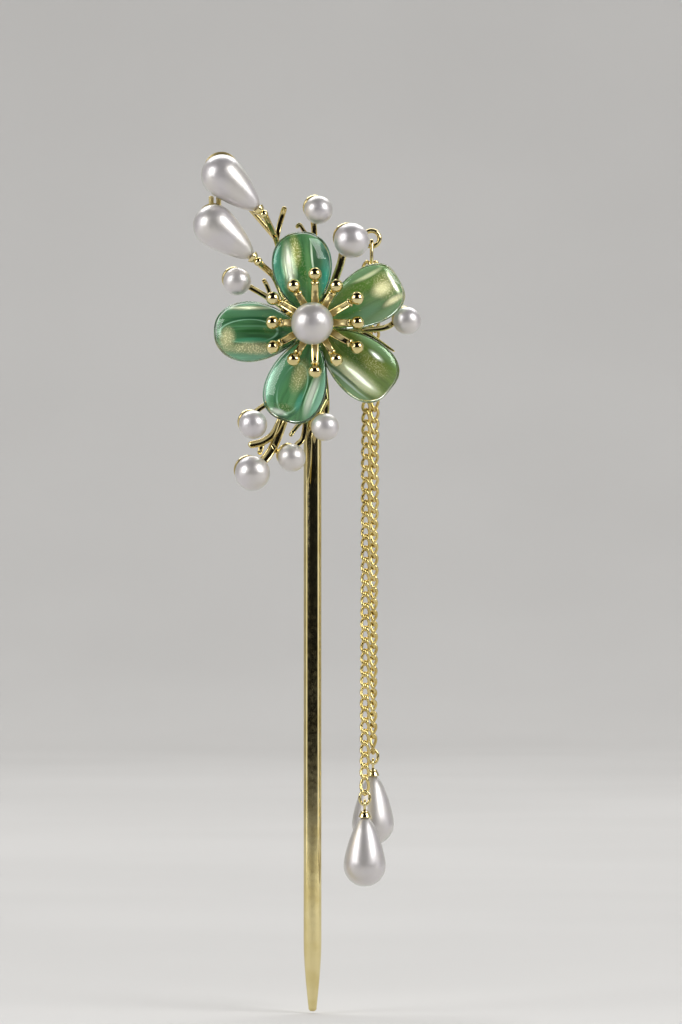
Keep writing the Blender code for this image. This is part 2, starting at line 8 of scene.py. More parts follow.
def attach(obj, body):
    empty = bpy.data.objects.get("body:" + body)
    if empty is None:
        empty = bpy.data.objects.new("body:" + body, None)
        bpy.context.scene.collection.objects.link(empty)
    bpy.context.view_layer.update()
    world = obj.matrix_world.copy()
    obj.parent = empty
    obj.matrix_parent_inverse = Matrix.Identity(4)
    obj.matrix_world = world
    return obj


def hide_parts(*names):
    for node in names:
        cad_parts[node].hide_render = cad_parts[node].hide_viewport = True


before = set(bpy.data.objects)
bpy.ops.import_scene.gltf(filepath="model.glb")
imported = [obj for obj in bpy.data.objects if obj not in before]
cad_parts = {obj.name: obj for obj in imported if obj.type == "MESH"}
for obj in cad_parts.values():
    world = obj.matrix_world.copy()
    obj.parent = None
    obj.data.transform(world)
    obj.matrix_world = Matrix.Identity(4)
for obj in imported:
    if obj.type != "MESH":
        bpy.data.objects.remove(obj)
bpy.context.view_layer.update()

# The looks of the decorative hair pin. Sizes are in millimetres, and MM turns them into metres
# when a piece is made. +Z runs up the shaft, +X is the side of the chains, and the flower
# faces -Y.
MM = 0.001
TOWARD_VIEWER = Vector((0.0, -1.0, 0.0))
UPWARD = Vector((0.0, 0.0, 1.0))

# The pin and the flower on it, as in the CAD model.
FLOWER_Z = 75.0
SHAFT_RADIUS = 1.7
SHAFT_TIP_Z = -55.0
SHAFT_TIP_RADIUS = 0.8
SHAFT_TIP_ROUNDING = 0.8
SHAFT_TAPER = 14.0
SHAFT_TOP_Z = 81.0
PLATE_RADIUS = 6.8
PLATE_SCALLOP = 0.4
PLATE_SCALLOPS = 5.0
PLATE_TURN = 27.0
PLATE_BACK_Y = -2.0
PLATE_FRONT_Y = -3.0
PLATE_SIDES = 120
POST_RADIUS = 0.7
POST_END_Y = -9.6
PEG_RADIUS = 0.4
PEG_REACH = 4.0
STEM_RADIUS = 0.55
STEM_Y = -2.7

# Petals. Each has its direction in degrees, its sideways shift, where it starts and ends along
# that direction, its half width, and the power and fullness that give its egg outline.
PETALS = {
    "petal_top": (95.4, 0.9, 2.6, 17.6, 5.75, 1.35, 0.38),
    "petal_upper_right": (30.0, -0.8, 2.7, 18.4, 5.5, 1.6, 0.28),
    "petal_lower_right": (-39.5, -0.2, 2.7, 19.2, 5.8, 1.6, 0.3),
    "petal_bottom": (251.3, 0.8, 2.6, 19.0, 5.9, 1.5, 0.32),
    "petal_left": (180.4, 1.3, 2.4, 18.6, 5.85, 1.35, 0.4),
}
PETAL_Y = -5.9
PETAL_HALF_THICKNESS = 1.9
PETAL_TWIST = 9.0
PETAL_ASPECT = 2.9
CORE_WIDTH = 0.88
CORE_LENGTH = 0.91
CORE_THICKNESS = 0.45
CORE_SET_BACK = 0.5

# Pearls, cups and pear drops.
CENTRE_PEARL_RADIUS = 4.0
CENTRE_PEARL_Y = -12.3
PEARL_UNEVENNESS = 0.03
CUP_GAP = 0.3
CUP_WALL = 0.35
CUP_WRAP = 43.0
CUP_FACING = Vector((0.35, -0.9, -0.3)).normalized()
BOSS_RADIUS = 1.0
BOSS_LENGTH = 0.8
BOSS_JOIN = BOSS_LENGTH * 0.4
DROP_RADIUS = 4.0
DROP_LENGTH = 13.3
DROP_TAPER = 0.72
DROP_BLUNTNESS = 12.0
DROP_SIDES = 56
DROP_Y = -6.9
TRAY_INNER = 0.35
TRAY_OUTER = 0.75
TRAY_FACING = Vector((0.0, -0.92, -0.39)).normalized()
TRAY_STEM_RADIUS = 0.5
TRAY_TWIG_RADIUS = 0.52
TRAY_STEM_START = 1.8
PRONG_WIRE = 0.48
PRONG_RADIUS = 4.75

# Stamens: long and short ones take turns around the hub.
STAMENS = 12
STAMEN_SHIFT = (0.5, 0.2)
STAMEN_LONG = 9.15
STAMEN_SHORT = 8.0
STAMEN_ROOT = 2.2
STAMEN_ROOT_Y = -7.6
STAMEN_TIP_Y = -10.4
STAMEN_WIDTH = 1.6
STAMEN_NARROWING = 0.2
STAMEN_BOW = 0.25
STAMEN_BALL = 1.3
STAMEN_COLLAR_GAP = 0.35
STAMEN_COLLAR = [(0.0, -0.5), (0.62, -0.42), (0.86, -0.15), (0.86, 0.1), (0.62, 0.34), (0.0, 0.4)]
HUB_RADIUS = 3.2
HUB_THICKNESS = 0.8
HUB_HOLE = 1.1

# The chains: where each strand starts and ends, the roll of its first link and how much each
# further link adds.
EYELET = Vector((11.2, 2.0, 91.5))
EYELET_RADIUS = 1.5
EYELET_WIRE = 0.45
TOP_RING_CENTRE = Vector((11.2, 2.0, 88.6))
TOP_RING_WIRE = 0.35
TOP_RING_HALF_WIDTH = 1.05
TOP_RING_HALF_LENGTH = 2.5
STRANDS = {
    "left": (Vector((10.3, 1.0, 84.9)), Vector((9.9, 1.2, -12.9)), -36.0, 0.4),
    "right": (Vector((11.9, 2.9, 84.9)), Vector((11.5, 7.9, -5.3)), 26.0, 1.0),
}
STRETCHES = ("upper", "middle", "lower")
LINK_PITCH = 2.2
LINK_WIRE = 0.31
LINK_HALF_WIDTH = 0.74
LINK_TWIST = -58.0
LINK_WAVER = 7.0
FIRST_LINK_ROLL = 40.0
FIRST_LINK_RISE = 0.8
LAST_LINK_EXTRA = 0.4
END_RING_WIRE = 0.3
END_RING_HALF_WIDTH = 0.95
END_RING_HALF_LENGTH = 1.3
END_RING_DROP = 0.15
EYE_RADIUS = 0.9
EYE_WIRE = 0.25
EYE_SLACK = 0.3
SHANK_RADIUS = 0.3
SHANK_LENGTH = 3.0
CAP_HEIGHT = 1.0

# The picture: its middle, how many millimetres it is high, and how far away the camera stands.
VIEW_MIDDLE = Vector((5.4, -6.0, 39.6))
VIEW_HEIGHT = 193.2
CAMERA_DISTANCE = 1300.0
SENSOR_HEIGHT = 24.0

# The room. The floor is round, and its wall stands at the back and sides only.
FLOOR_Z = SHAFT_TIP_Z - 0.4
FLOOR_RADIUS = 1450.0
FLOOR_SIDES = 144
WALL_SIDES = range(-6, 79)
WALL_BEND = 600.0
WALL_BEND_STEPS = 24
WALL_HEIGHT = 2400.0

# Each lamp: its direction and distance from what it lights, its width, height and power, and
# the place that it lights.
PIN_MIDDLE = Vector((0.0, 0.0, 60.0))
WALL_FOOT = Vector((0.0, 1400.0, 0.0))
SOFTBOXES = {
    "softbox_left": ((-0.80, -0.47, 0.36), 700.0, 400.0, 440.0, 2.6, PIN_MIDDLE),
    "softbox_right": ((0.71, -0.5, 0.48), 700.0, 400.0, 440.0, 3.4, PIN_MIDDLE),
    "panel_left": ((-1.0, -0.15, 0.0), 600.0, 260.0, 700.0, 0.4, PIN_MIDDLE),
    "panel_right": ((1.0, -0.15, 0.0), 600.0, 260.0, 700.0, 0.4, PIN_MIDDLE),
    "sweep_light": ((0.0, 0.75, 0.9), 1100.0, 1400.0, 700.0, 5.0, PIN_MIDDLE),
    "wall_light": ((0.0, -0.1, 1.0), 1600.0, 2600.0, 1200.0, 24.0, WALL_FOOT),
}


def on_flower(x, z, y=STEM_Y):
    """A point given by its place around the flower's centre."""
    return Vector((x, y, FLOWER_Z + z))


# ---------------------------------------------------------------- shapes

# How finely round shapes are divided, and the angles above which their edges stay sharp.
RING_STEPS, RING_WIRE_SIDES = 40, 14
LINK_STEPS, LINK_WIRE_SIDES = 24, 8
PETAL_SIDES, PETAL_RINGS = 48, 40
PEARL_SIDES, PEARL_RINGS = 56, 36
SHAFT_SIDES, CUP_SIDES, COLLAR_SIDES = 64, 44, 20
DROP_SHARP_ANGLE, ALL_SMOOTH = 80.0, 180.0

# A round end's last outline keeps this share of the width, so that its face has an area.
SMALLEST_END = 0.08


def facing_matrix(centre, direction):
    """Places a shape made along +Z so that +Z points in direction and its origin is at centre."""
    turn = UPWARD.rotation_difference(direction).to_matrix().to_4x4()
    return Matrix.Translation(centre) @ turn


def turns_around(sides):
    """The angles of evenly spread places around a circle."""
    return [math.tau * k / sides for k in range(sides)]


def curve_through(points, per_span=8, cyclic=False):
    """One smooth curve through the given points."""
    count = len(points)
    made = []
    for index in range(count if cyclic else count - 1):
        start, end = points[index], points[(index + 1) % count]
        before = points[index - 1] if cyclic or index else start * 2.0 - end
        after = points[(index + 2) % count] if cyclic or index + 2 < count else end * 2.0 - start
        for part in range(per_span):
            share = part / per_span
            place = start * 2.0 + (end - before) * share
            place += (before * 2.0 - start * 5.0 + end * 4.0 - after) * share**2
            place += (start * 3.0 - before - end * 3.0 + after) * share**3
            made.append(place * 0.5)
    if not cyclic:
        made.append(points[-1].copy())
    return made


def round_outline(radius, sides=12):
    """A wire seen from its end."""
    return [(radius * math.cos(turn), radius * math.sin(turn)) for turn in turns_around(sides)]


def channel_outline(half, groove=1.0, depth=1.0):
    """A cast strip seen from its end, as (side, front) points: a groove between two round lips."""
    floor = 0.85 - 0.95 * groove
    right = [(0.6, -0.95), (0.95, -0.6), (1.0, 0.55), (0.92, 0.85), (0.76, 0.95), (0.6, 0.85)]
    right.append((0.5, floor + 0.1))
    left = [(-side, front) for side, front in reversed(right)]
    outline = [(0.0, -1.0), *right, (0.0, floor), *left]
    return [(side * half, front * half * depth) for side, front in outline]


def join_loops(bm, loops, sides):
    """Faces between each loop of vertices and the next one. A loop may be a single vertex."""
    for low, high in zip(loops, loops[1:]):
        for k in range(sides):
            follow = (k + 1) % sides
            corners = [low[k % len(low)], low[follow % len(low)]]
            corners += [high[follow % len(high)], high[k % len(high)]]
            bm.faces.new(list(dict.fromkeys(corners)))


def sweep(bm, path, outline_at, front=TOWARD_VIEWER, cyclic=False):
    """Carries a closed outline along the path.

    outline_at gives the outline's (side, front) points for a place's index on the path.
    """
    rings = []
    last = len(path) - 1
    for index, place in enumerate(path):
        ahead = path[(index + 1) % len(path)] if cyclic or index < last else place
        behind = path[index - 1] if cyclic or index else place
        along = (ahead - behind).normalized()
        out = (front - along * front.dot(along)).normalized()
        side = out.cross(along)
        rings.append([bm.verts.new(place + side * a + out * b) for a, b in outline_at(index)])
    if cyclic:
        rings.append(rings[0])
    else:
        bm.faces.new(rings[0])
        bm.faces.new(rings[-1])
    join_loops(bm, rings, len(rings[0]))


def rounding(distance, radius):
    """The share of the full width at this distance from a round end."""
    if distance >= radius:
        return 1.0
    return max(math.sqrt(max(1.0 - (1.0 - distance / radius) ** 2, 0.0)), SMALLEST_END)


def distances(path):
    """How far along the path each of its points lies."""
    run = [0.0]
    for low, high in zip(path, path[1:]):
        run.append(run[-1] + (high - low).length)
    return run


def strip(bm, points, half=STEM_RADIUS, end_share=1.0, grooved=True):
    """A cast stem or twig along the points, with a groove down its front and a round end."""
    path = curve_through(points)
    for _ in range(2):
        rest = (path[-1] - path[-2]) * 0.5
        path.insert(len(path) - 1, path[-1] - rest)
    run = distances(path)

    def outline(index):
        left = run[-1] - run[index]
        taper = 1.0 + (end_share - 1.0) * (run[index] / run[-1]) ** 1.5
        groove = min(max((left - half) / half, 0.0), 1.0) if grooved else 0.0
        return channel_outline(half * taper * rounding(left, half), groove)

    sweep(bm, path, outline)


def wire(bm, points, radius, front=TOWARD_VIEWER):
    """A round wire on a smooth curve through the points."""
    outline = round_outline(radius)
    sweep(bm, curve_through(points), lambda index: outline, front)


def oval_ring(bm, centre, half_width, half_length, radius, along_y):
    """An oval wire ring standing up: it faces the viewer, or is edge-on where along_y is set."""
    across = Vector((0.0, 1.0, 0.0)) if along_y else Vector((1.0, 0.0, 0.0))
    front = Vector((1.0, 0.0, 0.0)) if along_y else TOWARD_VIEWER
    path = []
    for angle in turns_around(RING_STEPS):
        aside = across * (half_width * math.cos(angle))
        path.append(centre + aside + UPWARD * (half_length * math.sin(angle)))
    outline = round_outline(radius, RING_WIRE_SIDES)
    sweep(bm, path, lambda index: outline, front, cyclic=True)


def lathe(bm, profile, place, sides=40):
    """A profile of (radius, height) points turned about +Z. Points on the axis are one vertex."""
    loops = []
    for radius, height in profile:
        if radius < 1e-6:
            loops.append([bm.verts.new(place @ Vector((0.0, 0.0, height)))])
            continue
        loop = []
        for turn in turns_around(sides):
            point = Vector((radius * math.cos(turn), radius * math.sin(turn), height))
            loop.append(bm.verts.new(place @ point))
        loops.append(loop)
    join_loops(bm, loops, sides)


def arc(radius, start, end, steps, height=0.0):
    """Profile points on a circle around the axis, by angle from straight down."""
    angles = [start + (end - start) * step / steps for step in range(steps + 1)]
    return [(radius * math.sin(a), height - radius * math.cos(a)) for a in angles]


def ball(bm, centre, radius, sides=28, rings=16):
    """A whole ball around its centre."""
    profile = [(0.0, -radius), *arc(radius, 0.0, math.pi, rings)[1:-1], (0.0, radius)]
    lathe(bm, profile, Matrix.Translation(centre), sides)


def finished_mesh(name, bm, material):
    """The bmesh in metres, as a mesh of this material."""
    bm.transform(Matrix.Scale(MM, 4))
    mesh = bpy.data.meshes.new(name)
    bm.to_mesh(mesh)
    bm.free()
    mesh.materials.append(material)
    mesh.shade_smooth()
    return mesh


def placed(name, data):
    """The mesh, camera or lamp as an object in the scene."""
    made = bpy.data.objects.new(name, data)
    bpy.context.scene.collection.objects.link(made)
    return made


def piece(name, bm, material, body="pin", stands_for=(), sharp_angle=50.0):
    """The bmesh as a piece that moves with the body and stands for the CAD nodes."""
    bmesh.ops.recalc_face_normals(bm, faces=bm.faces)
    mesh = finished_mesh(name, bm, material)
    mesh.set_sharp_from_angle(angle=math.radians(sharp_angle))
    made = placed(name, mesh)
    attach(made, body)
    if stands_for:
        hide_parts(*stands_for)
    return made


# ---------------------------------------------------------------- materials


def feed(tree, socket, value):
    """Sets a socket to a number or colour, or links another node's output to it."""
    if isinstance(value, bpy.types.NodeSocket):
        tree.links.new(value, socket)
    else:
        socket.default_value = value


def node(tree, kind, inputs=(), **settings):
    """A new node with these settings. Each input is a number, a colour or a node's output."""
    made = tree.nodes.new(kind)
    for key, value in settings.items():
        setattr(made, key, value)
    for key, value in dict(inputs).items():
        feed(tree, made.inputs[key], value)
    return made


def set_shader(tree, shader, **inputs):
    """Sets or links the shader's sockets, named with _ for each space."""
    for key, value in inputs.items():
        feed(tree, shader.inputs[key.replace("_", " ")], value)


def new_material(name, slot=""):
    """A material, its node tree and its shader. slot is the record's material slot."""
    made = bpy.data.materials.new(name)
    made.use_nodes = True
    made["slot"] = slot
    return made, made.node_tree, made.node_tree.nodes["Principled BSDF"]


def object_noise(tree, scale, detail=2.0, vector=None):
    """Noise over the object's own place, or over the given vector."""
    if vector is None:
        vector = node(tree, "ShaderNodeTexCoord").outputs["Object"]
    inputs = {"Vector": vector, "Scale": scale, "Detail": detail}
    return node(tree, "ShaderNodeTexNoise", inputs).outputs["Fac"]


def mapped(tree, value, from_min, from_max, to_min=0.0, to_max=1.0):
    """The value carried smoothly from one range to another, held at the ends."""
    inputs = {"Value": value, "From Min": from_min, "From Max": from_max}
    inputs.update({"To Min": to_min, "To Max": to_max})
    made = node(tree, "ShaderNodeMapRange", inputs, interpolation_type="SMOOTHSTEP")
    return made.outputs["Result"]


def maths(tree, operation, first, second=0.0):
    """One calculation on numbers or outputs."""
    made = node(tree, "ShaderNodeMath", {0: first, 1: second}, operation=operation)
    return made.outputs["Value"]


def blended(tree, factor, first, second):
    """Two colours mixed by the factor. A colour is a tone of three numbers or a node's output."""
    made = node(tree, "ShaderNodeMix", data_type="RGBA")
    feed(tree, made.inputs[0], factor)
    for socket, value in ((made.inputs[6], first), (made.inputs[7], second)):
        feed(tree, socket, (*value, 1.0) if isinstance(value, (tuple, list)) else value)
    return made.outputs[2]


def bumped(tree, shader, height, distance, strength=1.0):
    """Gives the shader relief from a height."""
    inputs = {"Height": height, "Distance": distance, "Strength": strength}
    bump = node(tree, "ShaderNodeBump", inputs)
    tree.links.new(bump.outputs["Normal"], shader.inputs["Normal"])


def mix_output(tree, factor, first, second, output, socket):
    """Mixes two shaders into the tree's output node."""
    mix = node(tree, "ShaderNodeMixShader", {0: factor, 1: first, 2: second})
    tree.links.new(mix.outputs[0], tree.nodes[output].inputs[socket])


def gold_material(name, slot, pale, deep, roughness):
    """Polished plating: slow shifts between two golds, fine casting ripple and uneven gloss."""
    made, tree, shader = new_material(name, slot)
    shift = mapped(tree, object_noise(tree, 260.0), 0.35, 0.7)
    wear = object_noise(tree, 1100.0, 4.0)
    set_shader(
        tree,
        shader,
        Base_Color=blended(tree, shift, pale, deep),
        Metallic=1.0,
        Roughness=mapped(tree, wear, 0.3, 0.75, roughness * 0.75, roughness * 1.4),
    )
    bumped(tree, shader, object_noise(tree, 450.0), 0.00001, 0.5)
    return made


def pearl_material():
    """Lacquered imitation pearl: lavender white, and cream and faint green towards its rim."""
    made, tree, shader = new_material("lacquered_pearl", "white_pearl")
    facing = node(tree, "ShaderNodeLayerWeight", {"Blend": 0.35}).outputs["Facing"]
    tint = mapped(tree, object_noise(tree, 190.0), 0.35, 0.65)
    body = blended(tree, tint, (0.64, 0.61, 0.62), (0.65, 0.62, 0.59))
    edge = blended(tree, tint, (0.63, 0.61, 0.54), (0.56, 0.60, 0.54))
    gloss = object_noise(tree, 1300.0, 3.0)
    set_shader(
        tree,
        shader,
        Base_Color=blended(tree, mapped(tree, facing, 0.35, 0.95), body, edge),
        Roughness=mapped(tree, gloss, 0.3, 0.7, 0.36, 0.43),
        Metallic=0.62,
        Coat_Weight=0.6,
        Coat_Roughness=0.12,
    )
    bumped(tree, shader, object_noise(tree, 700.0), 0.00002, 0.5)
    return made


def glass_material():
    """Clear glass with a faint green tint that lets lamps through to what lies inside it."""
    made, tree, shader = new_material("clear_glass", "green_glass")
    tint = mapped(tree, object_noise(tree, 200.0), 0.3, 0.7)
    gloss = object_noise(tree, 900.0, 3.0)
    set_shader(
        tree,
        shader,
        Base_Color=blended(tree, tint, (0.86, 0.96, 0.90), (0.90, 0.98, 0.94)),
        Roughness=mapped(tree, gloss, 0.3, 0.7, 0.0, 0.05),
        Transmission_Weight=1.0,
        IOR=1.45,
    )
    bumped(tree, shader, object_noise(tree, 260.0, 1.0), 0.00006, 0.4)
    clear = node(tree, "ShaderNodeBsdfTransparent", {"Color": (0.95, 0.99, 0.96, 1.0)}).outputs[0]
    shadow = node(tree, "ShaderNodeLightPath").outputs["Is Shadow Ray"]
    mix_output(tree, shadow, shader.outputs[0], clear, "Material Output", "Surface")
    return made


# ---------------------------------------------------------------- the paint inside the petals, with its painted highlights


# Each petal's green body, the tone that its rim fades to, how steeply its foil leans towards the
# tip and across, and its patches. A patch is its middle and half length along the petal, its
# middle and half width across it, its tone, how much gold dust it holds, and how much of it is
# foil. The near-white tones of some foil patches are painted highlights: glints, bright streaks
# and arcs of lamp light painted into the colour, on top of the real foil's metal and lean.
PETAL_PAINT = {
    "petal_top": ((0.06, 0.18, 0.06), (0.10, 0.34, 0.24), (0.00, 0.42), [
        (0.55, 0.42, 0.02, 0.2, (0.03, 0.15, 0.02), 0.15, 0.0),
        (0.5, 0.45, -0.22, 0.14, (0.13, 0.29, 0.10), 0.0, 0.0),
        (0.6, 0.42, -0.56, 0.2, (0.06, 0.15, 0.07), 0.0, 0.0),
        (0.78, 0.26, 0.2, 0.22, (0.34, 0.35, 0.08), 0.9, 0.0),
        # painted highlight: this pale streak and its near-white middle paint the lamp's glint on
        # the foil
        (0.6, 0.36, 0.48, 0.26, (0.66, 0.71, 0.52), 0.35, 0.8),
        (0.58, 0.3, 0.48, 0.14, (1.00, 0.98, 0.86), 0.2, 0.9),
        (0.68, 0.26, -0.38, 0.045, (0.85, 0.90, 0.75), 0.0, 0.9),
        (0.3, 0.32, -0.8, 0.24, (0.01, 0.25, 0.17), 0.0, 0.0),
        (0.32, 0.36, 0.85, 0.22, (0.05, 0.29, 0.18), 0.1, 0.0),
    ]),
    "petal_upper_right": ((0.12, 0.21, 0.07), (0.21, 0.34, 0.17), (0.42, 0.00), [
        (0.3, 0.26, 0.0, 0.35, (0.06, 0.23, 0.04), 0.0, 0.0),
        (0.55, 0.45, 0.45, 0.38, (0.11, 0.22, 0.03), 0.2, 0.0),
        (0.42, 0.35, -0.45, 0.28, (0.13, 0.27, 0.13), 0.0, 0.0),
        (0.84, 0.17, 0.1, 0.6, (0.29, 0.30, 0.08), 0.9, 0.0),
        # painted highlights: the pale gold glints near the tip and the bright arc along its edge
        (0.79, 0.17, 0.05, 0.32, (0.90, 0.80, 0.45), 0.9, 0.4),
        (0.84, 0.17, -0.58, 0.16, (0.80, 0.70, 0.42), 0.6, 0.35),
        (0.72, 0.24, 0.74, 0.1, (0.72, 0.72, 0.45), 0.3, 0.3),
        (0.95, 0.04, 0.0, 0.6, (0.96, 0.92, 0.72), 0.2, 0.9),
    ]),
    "petal_lower_right": ((0.134, 0.202, 0.034), (0.24, 0.38, 0.18), (0.00, 0.42), [
        (0.45, 0.4, 0.15, 0.32, (0.07, 0.14, 0.02), 0.15, 0.0),
        (0.7, 0.26, 0.3, 0.34, (0.24, 0.26, 0.04), 0.5, 0.0),
        (0.62, 0.42, -0.38, 0.38, (0.38, 0.45, 0.14), 0.5, 0.0),
        # painted highlights: the pale band and its near-white middle, the silver glint and the
        # silver lines along the rim
        (0.62, 0.38, -0.4, 0.31, (1.00, 0.97, 0.70), 0.1, 0.9),
        (0.66, 0.28, -0.36, 0.14, (1.00, 1.00, 0.90), 0.0, 0.9),
        (0.64, 0.13, 0.62, 0.12, (0.80, 0.82, 0.70), 0.0, 0.9),
        (0.5, 0.42, -0.78, 0.06, (0.70, 0.80, 0.72), 0.0, 0.9),
        (0.5, 0.42, -0.68, 0.05, (0.07, 0.16, 0.06), 0.0, 0.0),
    ]),
    "petal_bottom": ((0.085, 0.238, 0.091), (0.24, 0.46, 0.33), (0.00, 0.42), [
        (0.5, 0.45, -0.62, 0.32, (0.10, 0.28, 0.14), 0.0, 0.0),
        (0.64, 0.32, 0.05, 0.16, (0.16, 0.34, 0.15), 0.0, 0.0),
        (0.45, 0.24, 0.0, 0.32, (0.42, 0.42, 0.17), 0.9, 0.0),
        (0.76, 0.15, 0.3, 0.14, (0.09, 0.34, 0.23), 0.0, 0.0),
        (0.58, 0.34, 0.44, 0.06, (0.02, 0.10, 0.02), 0.0, 0.0),
        # painted highlight: the silver strip down the side
        (0.62, 0.32, 0.62, 0.17, (0.80, 0.84, 0.72), 0.1, 0.9),
        (0.88, 0.06, -0.1, 0.4, (0.05, 0.16, 0.02), 0.3, 0.0),
        # painted highlight: the pale patch at the tip
        (0.95, 0.04, -0.3, 0.36, (0.85, 0.88, 0.78), 0.0, 0.9),
    ]),
    "petal_left": ((0.067, 0.197, 0.076), (0.20, 0.42, 0.27), (0.42, 0.00), [
        (0.5, 0.5, -0.64, 0.2, (0.12, 0.29, 0.15), 0.0, 0.0),
        (0.5, 0.45, -0.45, 0.06, (0.02, 0.11, 0.04), 0.0, 0.0),
        (0.5, 0.42, -0.15, 0.05, (0.14, 0.32, 0.17), 0.0, 0.0),
        (0.5, 0.42, 0.03, 0.08, (0.03, 0.12, 0.03), 0.0, 0.0),
        (0.55, 0.32, 0.36, 0.12, (0.09, 0.36, 0.20), 0.0, 0.0),
        # painted highlight: the pale gold streak along the edge near the tip
        (0.6, 0.34, -0.86, 0.1, (0.80, 0.78, 0.56), 0.2, 0.5),
        (0.55, 0.4, 0.62, 0.24, (0.48, 0.45, 0.24), 1.0, 0.3),
        (0.87, 0.11, 0.25, 0.45, (0.56, 0.51, 0.27), 1.0, 0.0),
    ]),
}

# Folds of clear glass inside two of the petals, each an oval in the same measures as a patch.
# Its lines are a dark one and a light one: their place out from the middle, width and tone.
PETAL_FOLDS = {
    "petal_bottom": (0.62, 0.32, -0.08, 0.46),
    "petal_left": (0.6, 0.36, 0.02, 0.42),
}
FOLD_LINES = ((1.16, 0.14, (0.02, 0.10, 0.04)), (1.0, 0.07, (0.45, 0.72, 0.55)))
DUST_TONE = (1.0, 0.90, 0.58)


def from_middle(tree, along, across, spot):
    """How far a place on a petal lies from the middle of an oval, where its edge is 1."""
    middle_along, half_length, middle_across, half_width = spot
    beyond = maths(tree, "DIVIDE", maths(tree, "SUBTRACT", along, middle_along), half_length)
    aside = maths(tree, "DIVIDE", maths(tree, "SUBTRACT", across, middle_across), half_width)
    arm = node(tree, "ShaderNodeCombineXYZ", {"X": beyond, "Y": aside}).outputs[0]
    length = node(tree, "ShaderNodeVectorMath", {0: arm}, operation="LENGTH")
    return length.outputs["Value"]


def foil_slope(tree, along, across, spot, lean):
    """The height of a plane that leans towards the tip and across, and is 0 at the spot."""
    back = maths(tree, "SUBTRACT", spot[0], along)
    aside = maths(tree, "SUBTRACT", spot[2], across)
    rise = maths(tree, "MULTIPLY", back, lean[0] * PETAL_ASPECT)
    return maths(tree, "ADD", rise, maths(tree, "MULTIPLY", aside, lean[1]))


def petal_material(name, middle, edge, lean, patches, fold=None):
    """The paint inside a petal, brushed along its length, with painted highlights in the pale tones
    of its foil patches.
    """
    made, tree, shader = new_material(name, "green_glass")
    uv_map = node(tree, "ShaderNodeUVMap", uv_map="petal").outputs[0]
    place = node(tree, "ShaderNodeSeparateXYZ", {0: uv_map})
    along, across = place.outputs["X"], place.outputs["Y"]
    off_middle = maths(tree, "ABSOLUTE", across)
    wobble = mapped(tree, object_noise(tree, 130.0, 1.0), 0.3, 0.7, -0.03, 0.03)
    across = maths(tree, "ADD", across, wobble)
    stretched = maths(tree, "MULTIPLY", along, 0.3)
    brushed = node(tree, "ShaderNodeCombineXYZ", {"X": stretched, "Y": across})
    grain = object_noise(tree, 7.0, 2.0, brushed.outputs[0])
    dark, light = ([part * share for part in middle] for share in (0.72, 1.2))
    body = blended(tree, mapped(tree, grain, 0.3, 0.7), dark, light)
    colour = blended(tree, mapped(tree, off_middle, 0.6, 0.95), body, edge)
    dust_grain = mapped(tree, object_noise(tree, 4200.0), 0.5, 0.64)
    if fold:
        away = from_middle(tree, along, across, fold)
        for out, width, tone in FOLD_LINES:
            off_line = maths(tree, "ABSOLUTE", maths(tree, "SUBTRACT", away, out))
            colour = blended(tree, mapped(tree, off_line, width, 0.0, 0.0, 0.8), colour, tone)
    dust, foil, height = 0.0, 0.0, 0.0
    for *spot, tone, dust_share, foil_share in patches:
        mask = mapped(tree, from_middle(tree, along, across, spot), 1.15, 0.25)
        if foil_share:
            shiny = maths(tree, "MULTIPLY", mask, foil_share)
            foil = maths(tree, "MAXIMUM", foil, shiny)
            rise = foil_slope(tree, along, across, spot, lean)
            height = maths(tree, "ADD", height, maths(tree, "MULTIPLY", shiny, rise))
        # the pale tones of foil patches lay painted highlights into the colour here
        colour = blended(tree, mask, colour, tone)
        dust = maths(tree, "MAXIMUM", dust, maths(tree, "MULTIPLY", mask, dust_share))
    flecks = maths(tree, "MULTIPLY", dust, dust_grain)
    set_shader(
        tree,
        shader,
        Base_Color=blended(tree, flecks, colour, DUST_TONE),
        Metallic=mapped(tree, maths(tree, "MAXIMUM", flecks, foil), 0.0, 1.0, 0.3, 0.85),
        Roughness=mapped(tree, grain, 0.3, 0.7, 0.28, 0.4),
    )
    texture = maths(tree, "MULTIPLY", maths(tree, "ADD", grain, flecks), 0.006)
    bumped(tree, shader, maths(tree, "ADD", height, texture), 0.005)
    return made


GOLD = gold_material(
    "polished_gold", "champagne_gold", (0.80, 0.69, 0.36), (0.70, 0.58, 0.26), 0.1)
CHAIN_GOLD = gold_material(
    "link_gold", "chain_gold", (0.76, 0.62, 0.27), (0.57, 0.44, 0.15), 0.18)
PEARL = pearl_material()
GLASS = glass_material()


# ---------------------------------------------------------------- chains


def link(bm, centre, along, front, half_length):
    """One curb link: an oval of wire, twisted so that its ends stand across each other."""
    side = front.cross(along)
    path = []
    for angle in turns_around(LINK_STEPS):
        twist = math.radians(LINK_TWIST) * math.sin(angle)
        aside = LINK_HALF_WIDTH * math.cos(angle)
        flat = side * (aside * math.cos(twist)) + front * (aside * math.sin(twist))
        path.append(centre + flat + along * (half_length * math.sin(angle)))
    outline = round_outline(LINK_WIRE, LINK_WIRE_SIDES)
    sweep(bm, path, lambda index: outline, front, cyclic=True)


def rolled(along, degrees):
    """The viewer's direction rolled about the strand."""
    return Matrix.Rotation(math.radians(degrees), 3, along) @ TOWARD_VIEWER


